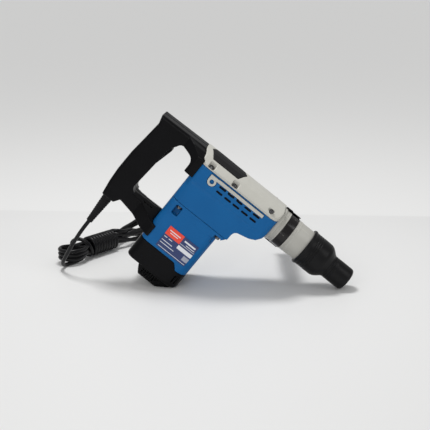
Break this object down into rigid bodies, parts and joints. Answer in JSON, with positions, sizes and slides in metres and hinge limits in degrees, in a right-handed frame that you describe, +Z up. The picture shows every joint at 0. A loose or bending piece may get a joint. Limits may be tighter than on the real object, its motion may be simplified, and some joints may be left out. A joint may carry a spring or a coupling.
{
  "type": "electric jackhammer",
  "caption": "L-shaped corded demolition hammer with D-handle, upright motor, chuck with sliding sleeve and side handle, resting on its end cap and nose.",
  "frame": {"origin": "on the floor under the middle of the tool, without its cord", "axes": "+X horizontally towards the nose, +Y towards the side handle, away from the rating plate, +Z up; the barrel points 38.4 degrees below +X"},
  "size_m": [0.5295, 0.3775, 0.2893],
  "materials": {
    "blue_housing": "satin blue paint over cast metal",
    "blue_plastic": "moulded blue nylon, fine texture",
    "grey_housing": "warm light grey paint",
    "grey_trim": "moulded light grey plastic",
    "black_plastic": "black moulded plastic, light grain",
    "black_rubber": "soft black rubber",
    "cord_pvc": "black cord sheath",
    "ground_steel": "ground and hardened steel",
    "dark_steel": "blackened steel",
    "cast_aluminium": "as cast and machined",
    "copper": "turned copper segments",
    "carbon": "pressed carbon",
    "label_foil": "printed foil, red and dark blue fields"
  },
  "bodies": {
    "machine": {"bearing_bottom": "ground_steel", "bearing_plate": "cast_aluminium", "bearing_top": "ground_steel", "brush_bridge": "black_plastic", "brush_front": "carbon", "brush_rear": "carbon", "cord_guard": "black_rubber", "cord_hank": "cord_pvc", "cord_tube": "cord_pvc", "cover_screw_far_1": "dark_steel", "cover_screw_far_2": "dark_steel", "cover_screw_far_3": "dark_steel", "cover_screw_near_1": "dark_steel", "cover_screw_near_2": "dark_steel", "cover_screw_near_3": "dark_steel", "crank_bearing": "ground_steel", "crankcase_wall": "cast_aluminium", "cylinder": "ground_steel", "dust_cap": "black_rubber", "end_cap": "black_plastic", "front_barrel": "grey_housing", "gear_housing": "blue_housing", "handle_far": "black_plastic", "handle_near": "black_plastic", "mains_plug": "black_plastic", "motor_bolt_1": "dark_steel", "motor_bolt_2": "dark_steel", "motor_bolt_3": "dark_steel", "motor_bolt_4": "dark_steel", "motor_housing": "blue_plastic", "name_plate": "label_foil", "sleeve_spring": "ground_steel", "stator": "dark_steel", "switch_block": "black_plastic", "tool_holder": "ground_steel", "top_housing": "grey_housing", "top_pad": "black_rubber", "trigger_pin": "ground_steel", "vent_trim_far": "grey_trim", "vent_trim_near": "grey_trim"},
    "trigger_body": {"trigger": "black_plastic"},
    "sleeve_body": {"locking_sleeve": "black_rubber"},
    "roller_near_body": {"lock_roller_near": "dark_steel"},
    "roller_far_body": {"lock_roller_far": "dark_steel"},
    "rotor_body": {"armature_shaft": "ground_steel", "armature_core": "dark_steel", "commutator": "copper", "fan": "black_plastic"},
    "crank_body": {"crank_shaft": "ground_steel", "crank_gear": "ground_steel"},
    "piston_body": {"piston": "cast_aluminium", "wrist_pin": "ground_steel"},
    "con_rod_body": {"con_rod": "ground_steel"},
    "striker_body": {"striker": "ground_steel"},
    "impact_bolt_body": {"impact_bolt": "ground_steel"},
    "side_handle_body": {"clamp_band": "dark_steel", "clamp_saddle": "black_plastic", "clamp_stud": "ground_steel"},
    "side_grip_body": {"side_grip": "black_rubber"}
  },
  "joints": [
    {"name": "trigger_squeeze", "type": "hinge", "parent": "machine", "child": "trigger_body", "pos_m": [-0.11003, -0.07068, 0.2105], "axis": [0, -1, 0], "range_deg": [0, 7], "stiffness_Nm_per_rad": 2, "springref_deg": -5.73},
    {"name": "sleeve_pull", "type": "slide", "parent": "machine", "child": "sleeve_body", "axis": [-0.7837, 0, 0.6211], "range_m": [0, 0.012], "stiffness_N_per_m": 900, "springref_m": -0.006, "deforming": ["sleeve_spring"]},
    {"name": "roller_near_lift", "type": "slide", "parent": "machine", "child": "roller_near_body", "axis": [0, -1, 0], "range_m": [0, 0.0024]},
    {"name": "roller_far_lift", "type": "slide", "parent": "machine", "child": "roller_far_body", "axis": [0, 1, 0], "range_m": [0, 0.0024]},
    {"name": "armature_spin", "type": "hinge", "parent": "machine", "child": "rotor_body", "pos_m": [-0.05299, -0.07068, 0.09894], "axis": [0.6211, 0, 0.7837], "continuous": true},
    {"name": "crank_spin", "type": "hinge", "parent": "machine", "child": "crank_body", "pos_m": [0.00779, -0.07068, 0.12733], "axis": [0.6211, 0, 0.7837], "continuous": true},
    {"name": "piston_stroke", "type": "slide", "parent": "machine", "child": "piston_body", "axis": [0.7837, 0, -0.6211], "range_m": [0, 0.026]},
    {"name": "con_rod_swing", "type": "hinge", "parent": "piston_body", "child": "con_rod_body", "pos_m": [0.06398, -0.07068, 0.13383], "axis": [0.6211, 0, 0.7837], "range_deg": [-10, 10]},
    {"name": "striker_stroke", "type": "slide", "parent": "machine", "child": "striker_body", "axis": [0.7837, 0, -0.6211], "range_m": [0, 0.01]},
    {"name": "impact_bolt_travel", "type": "slide", "parent": "machine", "child": "impact_bolt_body", "axis": [0.7837, 0, -0.6211], "range_m": [0, 0.0018]},
    {"name": "side_handle_swivel", "type": "hinge", "parent": "machine", "child": "side_handle_body", "pos_m": [0.11147, -0.07068, 0.09619], "axis": [0.7837, 0, -0.6211], "range_deg": [-180, 180]},
    {"name": "side_grip_screw", "type": "hinge", "parent": "side_handle_body", "child": "side_grip_body", "pos_m": [0.09856, 0.02713, 0.07989], "axis": [-0.1291, 0.9781, -0.1629], "range_deg": [-720, 0]}
  ],
  "couplings": [
    {"joint": "crank_spin", "follows": "armature_spin", "ratio": -0.25},
    {"joint": "roller_near_lift", "follows": "sleeve_pull", "ratio": 0.2},
    {"joint": "roller_far_lift", "follows": "sleeve_pull", "ratio": 0.2}
  ]
}
